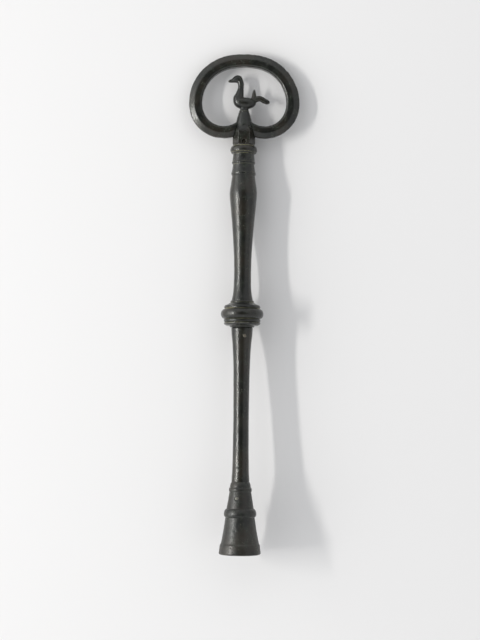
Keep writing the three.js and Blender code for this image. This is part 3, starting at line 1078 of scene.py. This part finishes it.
class Paint:
    """Adds nodes to one material or to the sky."""

    def __init__(self, owner: bpy.types.Material | bpy.types.World) -> None:
        """Turns on the owner's nodes and keeps its tree."""
        owner.use_nodes = True
        self.tree = owner.node_tree

    def node(self, kind: str, settings: dict | None = None, inputs: dict | None = None) -> Made:
        """Adds one node, sets its settings first and then its sockets.

        Args:
            kind: the node's type.
            settings: property names and values.
            inputs: socket keys with numbers, colours or sockets to link.

        Returns:
            The node, ready to read from.
        """
        made = self.tree.nodes.new(kind)
        for key, value in (settings or {}).items():
            setattr(made, key, value)
        for key, value in (inputs or {}).items():
            if isinstance(value, Sock):
                value = value.source
            if isinstance(value, bpy.types.NodeSocket):
                self.tree.links.new(value, made.inputs[key])
            else:
                made.inputs[key].default_value = value
        return Made(self, made)

    def blend(self, factor: Sock, first: object, second: object) -> bpy.types.NodeSocket:
        """Mixes two colours.

        Args:
            factor: 0 gives the first and 1 the second.
            first: a colour or a colour socket.
            second: a colour or a colour socket.

        Returns:
            The mixed colour's socket.
        """
        full = lambda c: (*c, 1.0) if isinstance(c, tuple) and len(c) == 3 else c
        inputs = {0: factor, 6: full(first), 7: full(second)}
        return self.node("ShaderNodeMix", {"data_type": "RGBA"}, inputs).out(2)

    def attribute(self, name: str) -> Sock:
        """A float that the piece's mesh carries."""
        return self.node("ShaderNodeAttribute", {"attribute_name": name}).value("Fac")

    def noise(self, where: bpy.types.NodeSocket, scale: float, detail: float, rough: float) -> Sock:
        """Noise of about 0.5 on average, with scale cells per metre and detail octaves."""
        inputs = {"Vector": where, "Scale": scale, "Detail": detail, "Roughness": rough}
        return self.node("ShaderNodeTexNoise", {"noise_dimensions": "3D"}, inputs).value(0)


def painted(name: str, sockets: Callable[[Paint], dict]) -> bpy.types.Material:
    """A new material that ends in one Principled shader.

    Args:
        name: the material's name.
        sockets: adds the nodes that lead up to the shader and returns its sockets by name.

    Returns:
        The material.
    """
    material = bpy.data.materials.new(name)
    paint = Paint(material)
    paint.tree.nodes.clear()
    shader = paint.node("ShaderNodeBsdfPrincipled", {}, sockets(paint))
    paint.node("ShaderNodeOutputMaterial", {}, {"Surface": shader.out("BSDF")})
    return material


@dataclass(frozen=True)
class Patina:
    """A bronze surface under its dark skin. Scales are in cells per metre, heights in metres."""

    slot: str
    dark: tuple[float, float, float] = (0.007, 0.008, 0.0065)
    brown: tuple[float, float, float] = (0.02, 0.017, 0.012)
    green: tuple[float, float, float] = (0.02, 0.025, 0.018)
    worn: tuple[float, float, float] = (0.27, 0.26, 0.2)
    verdigris: tuple[float, float, float] = (0.3, 0.29, 0.16)
    metallic: float = 0.2
    roughness: float = 0.12
    pits: float = 0.5
    verdigris_share: float = 0.6
    wear: float = 0.8
    cloud_scale: float = 90.0
    mottle_scale: float = 420.0
    cell_scale: float = 900.0
    grain_scale: float = 2100.0
    bump_strength: float = 0.75
    bump_distance: float = 0.00018
    coat: float = 0.15
    coat_roughness: float = 0.22

    def make(self) -> bpy.types.Material:
        """The finish as a material that is named after its slot."""
        return painted(self.slot, self.sockets)

    def sockets(self, paint: Paint) -> dict:
        """Dark skin mottled with brown and green, worn lighter on ridges and green in hollows.

        Args:
            paint: adds the nodes.

        Returns:
            The shader's sockets by name.
        """
        where = paint.node("ShaderNodeTexCoord").out("Object")
        ridge = paint.attribute("ridge")
        hollow = paint.attribute("hollow")
        clouds = paint.noise(where, self.cloud_scale, 5.0, 0.6)
        mottle = paint.noise(where, self.mottle_scale, 6.0, 0.65)
        grain = paint.noise(where, self.grain_scale, 4.0, 0.7)
        skin = paint.blend(clouds.rise(0.42, 0.62), self.dark, self.brown)
        skin = paint.blend(mottle.rise(0.46, 0.66) * 0.7, skin, self.green)
        rubbed = (ridge.rise(0.3, 1.4) * mottle.rise(0.4, 0.62) * self.wear).clamp()
        skin = paint.blend(rubbed, skin, self.worn)
        settled = hollow.rise(0.3, 1.3) * (0.35 + clouds.rise(0.44, 0.58))
        crust = (settled * self.verdigris_share).clamp()
        colour = paint.blend(crust, skin, self.verdigris)
        specks = grain.rise(0.6, 0.7) * mottle.rise(0.48, 0.58)
        colour = paint.blend((specks * 0.55).clamp(), colour, self.worn)
        shine = (self.roughness - 0.1) + 0.16 * mottle + 0.1 * clouds + 0.35 * crust + 0.2 * specks
        scatter_cells = {"Vector": where, "Scale": self.cell_scale, "Randomness": 1.0}
        cells = paint.node("ShaderNodeTexVoronoi", {"feature": "F1"}, scatter_cells).value("Distance")
        pit = (1.0 - cells.rise(0.08, 0.34)) * mottle.rise(0.5, 0.6)
        relief = 0.55 * grain + 0.9 * mottle - pit * self.pits
        height = {"Strength": self.bump_strength, "Distance": self.bump_distance, "Height": relief}
        return {
            "Base Color": colour,
            "Metallic": (self.metallic - 0.35 * crust).clamp(),
            "Roughness": shine.clamp(),
            "Normal": paint.node("ShaderNodeBump", {}, height).out("Normal"),
            "Coat Roughness": self.coat_roughness,
            "Coat Weight": self.coat,
        }


def dress(piece: bpy.types.Object, material: bpy.types.Material, slot: str, node: str) -> None:
    """Gives a piece its finish and its body, and hides the node that it stands for.

    Args:
        piece: the object.
        material: its finish.
        slot: the record's material slot; not used.
        node: the CAD node that it replaces.
    """
    piece.data.materials.clear()
    piece.data.materials.append(material)
    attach(piece, "root")
    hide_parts(node)
    low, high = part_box(node)
    faces, length = len(piece.data.polygons), (high.y - low.y) / MILLIMETRE
    log.info("%s: %d faces, stands for %s (%.1f mm long)", piece.name, faces, node, length)


@dataclass
class Studio:
    """The pale table, two lamps on the left, a sky that is dark overhead, and the camera above."""

    camera_height: float = 0.702
    lens: float = 87.75
    camera_x: float = -0.00092
    camera_y: float = -0.0078
    camera_turn: float = 0.581  # degrees
    sensor: float = 36.0
    table_half: float = 3.0
    table_rough: float = 0.85
    table_colour: tuple[float, float, float] = (0.79, 0.785, 0.78)
    sky: float = 1.02  # towards the horizon
    hood: float = 0.1  # straight above, where the camera's hood hides the sky
    hood_edge: float = 0.72
    slant: float = 0.3  # how much brighter the left is than the right
    sky_colour: tuple[float, float, float] = (0.97, 0.98, 1.0)
    lamp_colour: tuple[float, float, float] = (1.0, 0.985, 0.96)
    lamp_distance: float = 0.9  # of the two lamps, to the left of the key
    panel_width: float = 1.5
    panel_low: float = 0.01
    panel_high: float = 0.6
    panel_power: float = 4.0
    strip_high: float = 0.65
    strip_width: float = 0.45
    strip_power: float = 7.0

    def table(self) -> None:
        """A wide plain plane at the height that the key stands on."""
        mesh = bpy.data.meshes.new("table")
        half = self.table_half
        corners = [(x * half, y * half, 0.0) for x, y in ((-1, -1), (1, -1), (1, 1), (-1, 1))]
        mesh.from_pydata(corners, [], [(0, 1, 2, 3)])
        sockets = {"Base Color": (*self.table_colour, 1.0), "Roughness": self.table_rough}
        mesh.materials.append(painted("table", lambda paint: sockets))
        add_object("table", mesh)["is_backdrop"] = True

    def lamp(self, name: str, low: float, high: float, width: float, power: float) -> None:
        """An upright rectangular lamp on the left that faces the key.

        Args:
            name: the lamp's name.
            low: height of its lower edge.
            high: height of its upper edge.
            width: its length along the key.
            power: its power in watts.
        """
        lamp = bpy.data.lights.new(name, "AREA")
        lamp.shape = "RECTANGLE"
        lamp.size = high - low
        lamp.size_y = width
        lamp.energy = power
        lamp.color = self.lamp_colour
        holder = add_object(name, lamp)
        holder.location = (-self.lamp_distance, 0.0, (low + high) / 2)
        holder.rotation_euler = (0.0, -math.pi / 2, 0.0)

    def light(self) -> None:
        """A wide panel low on the left, a brighter strip above it, and a sky paler to the left."""
        self.lamp("panel", self.panel_low, self.panel_high, self.panel_width, self.panel_power)
        self.lamp("strip", self.panel_high, self.strip_high, self.strip_width, self.strip_power)
        world = bpy.data.worlds.new("sky")
        paint = Paint(world)
        way = paint.node("ShaderNodeTexCoord").out("Generated")
        split = paint.node("ShaderNodeSeparateXYZ", {}, {0: way})
        hidden = split.value("Z").rise(self.hood_edge, 1.0)
        strength = (self.sky + (self.hood - self.sky) * hidden) * (1.0 - self.slant * split.value("X"))
        background = paint.tree.nodes["Background"]
        background.inputs["Color"].default_value = (*self.sky_colour, 1.0)
        paint.tree.links.new(strength.source, background.inputs["Strength"])
        bpy.context.scene.world = world

    def camera(self) -> None:
        """A long lens straight above, turned a little as the photograph is."""
        data = bpy.data.cameras.new("camera")
        data.lens = self.lens
        data.sensor_width = self.sensor
        camera = add_object("camera", data)
        camera.location = (self.camera_x, self.camera_y, self.camera_height)
        camera.rotation_euler = (0.0, 0.0, math.radians(self.camera_turn))
        bpy.context.scene.camera = camera


FINISHES = {
    "foot": Patina("foot_bronze", roughness=0.33),
    "shaft": Patina("shaft_bronze"),
    "knop": Patina("knop_bronze"),
    "ferrule": Patina("ferrule_bronze", verdigris_share=0.9),
    "block": Patina("block_bronze", verdigris_share=0.7),
    "bow": Patina("bow_bronze"),
    "bird": Patina("bird_bronze", verdigris_share=0.3),
    "pin": Patina("pin_bronze", dark=(0.1, 0.1, 0.08), brown=(0.12, 0.1, 0.075), roughness=0.45),
}


def build_key(place: KeyPlace) -> Iterable[tuple[bpy.types.Object, str, str]]:
    """Makes every piece of the key.

    Args:
        place: lays the pieces down.

    Yields:
        The piece, the name of its finish and the node that it stands for.
    """
    shaft = Shaft()
    yield Foot().make(place), "foot", "socket_foot"
    for turned, finish in (
        (shaft.stem(), "shaft"),
        (shaft.knop(), "knop"),
        (shaft.grip(), "shaft"),
        (shaft.ferrule(), "ferrule"),
    ):
        yield turned.make(place), finish, turned.node
    yield Block().make(place), "block", "bow_block"
    yield Bow().make(place), "bow", "bow_loop"
    yield Bird().make(place), "bird", "bird_figure"
    for pin in (
        Pin("foot_rivet", "foot_pin", HEIGHTS.foot_pin, FOOT_PIN_TURN, 5.25),
        Pin("stem_rivet", "stem_pin", HEIGHTS.stem_pin, STEM_PIN_TURN, 4.6),
        Pin("bow_rivet", "bow_pin", HEIGHTS.bow_pin, 0.0, 3.0),
    ):
        yield pin.make(place), "pin", pin.node


def main() -> None:
    """Builds the key and its studio, and works out the two boxes."""
    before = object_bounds()
    studio = Studio()
    studio.camera()
    studio.light()
    studio.table()
    bpy.context.scene.view_settings.view_transform = "Standard"
    place = KeyPlace(frame["record"])
    materials = {key: finish.make() for key, finish in FINISHES.items()}
    for piece, finish, node in build_key(place):
        dress(piece, materials[finish], FINISHES[finish].slot, node)
    bpy.context.view_layer.update()
    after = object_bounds()
    boxes = {
        name: [list(map(float, corner)) for corner in box] for name, box in (("cad", before), ("visual", after))
    }


if __name__ == "__main__":
    main()
